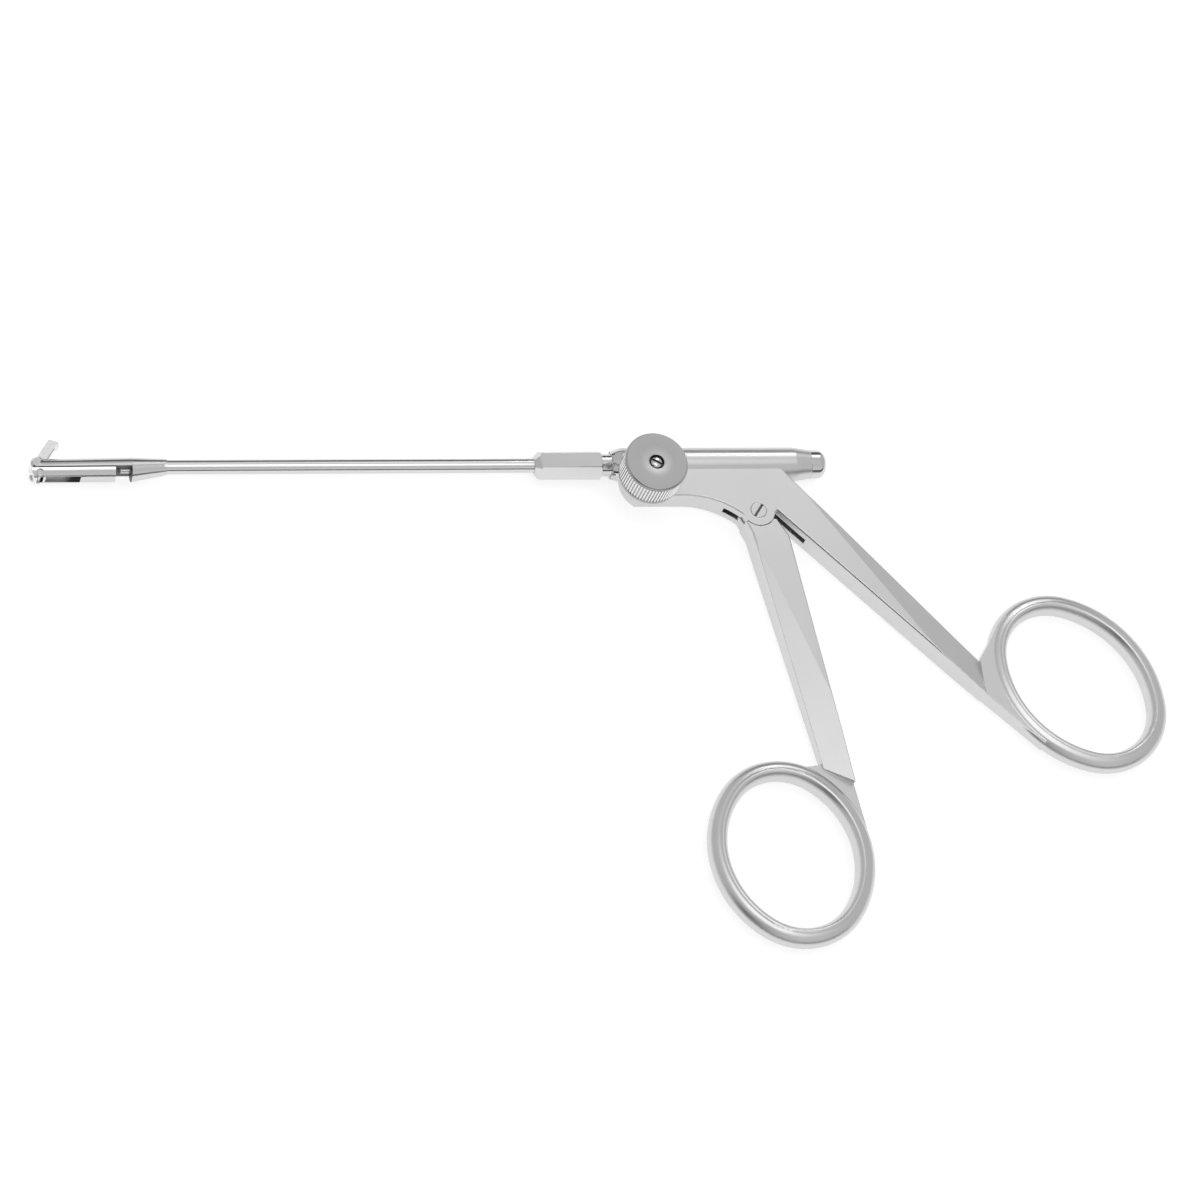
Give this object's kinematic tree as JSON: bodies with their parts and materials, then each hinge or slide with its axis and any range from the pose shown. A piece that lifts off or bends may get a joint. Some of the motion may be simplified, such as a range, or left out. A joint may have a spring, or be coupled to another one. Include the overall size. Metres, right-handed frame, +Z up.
{
  "type": "backbiter forceps",
  "caption": "Backbiter forceps: ring-handled punch with a thin sheath that turns, a hooked jaw that bites back onto its slotted head, and a knurled knob that fixes the sheath.",
  "frame": {"origin": "under the middle of the whole instrument, on the surface that it lies on", "axes": "+X from the jaw along the sheath to the housing, +Y from the finger rings up to the sheath, +Z up through the fixing knob"},
  "size_m": [0.1946, 0.0946, 0.0121],
  "materials": {
    "satin_steel": "forged stainless steel, fine satin brushing along the handles",
    "polished_steel": "mirror-polished stainless steel",
    "sheath_steel": "drawn stainless steel, brushed along its length",
    "head_steel": "ground stainless steel, satin",
    "jaw_steel": "hardened stainless steel, ground edges",
    "spun_steel": "turned stainless steel, face marked in fine circles, rim knurled",
    "bright_steel": "bright turned stainless steel",
    "washer_bronze": "plain bearing bronze",
    "seal_rubber": "black silicone rubber"
  },
  "bodies": {
    "frame": {"handle_frame": "satin_steel", "end_cap": "polished_steel", "cap_seal": "seal_rubber", "nose_nut": "polished_steel", "thrust_washer": "washer_bronze", "pivot_screw": "satin_steel"},
    "lever": {"finger_lever": "satin_steel"},
    "knob": {"fixing_stem": "bright_steel", "fixing_knob": "spun_steel", "knob_screw": "polished_steel"},
    "sheath": {"sheath_stem": "polished_steel", "hex_grip": "sheath_steel", "sheath_tube": "sheath_steel", "head_saddle": "head_steel", "jaw_pin": "polished_steel"},
    "rod": {"drive_rod": "bright_steel", "drive_slider": "head_steel", "slider_pin": "polished_steel", "rod_spool": "bright_steel", "spool_nut": "bright_steel"},
    "jaw": {"cutting_jaw": "jaw_steel"}
  },
  "joints": [
    {"name": "handle_squeeze", "type": "hinge", "parent": "frame", "child": "lever", "pos_m": [0.028, 0.03262, 0.003], "axis": [0, 0, 1], "range_deg": [-9, 13]},
    {"name": "sheath_turn", "type": "hinge", "parent": "frame", "child": "sheath", "pos_m": [0.008, 0.04259, 0.003], "axis": [1, 0, 0], "continuous": true},
    {"name": "rod_slide", "type": "slide", "parent": "sheath", "child": "rod", "axis": [1, 0, 0], "range_m": [-0.00195, 0.00135]},
    {"name": "jaw_hinge", "type": "hinge", "parent": "sheath", "child": "jaw", "pos_m": [-0.0962, 0.04284, 0.003], "axis": [0, 0, 1], "range_deg": [-49.5, 34.5]},
    {"name": "knob_turn", "type": "hinge", "parent": "frame", "child": "knob", "pos_m": [0.0087, 0.03874, 0.006], "axis": [0, 0, 1], "range_deg": [0, 270]}
  ],
  "couplings": [
    {"joint": "rod_slide", "follows": "handle_squeeze", "m_per_rad": -0.0082},
    {"joint": "jaw_hinge", "follows": "handle_squeeze", "ratio": -3.76}
  ]
}
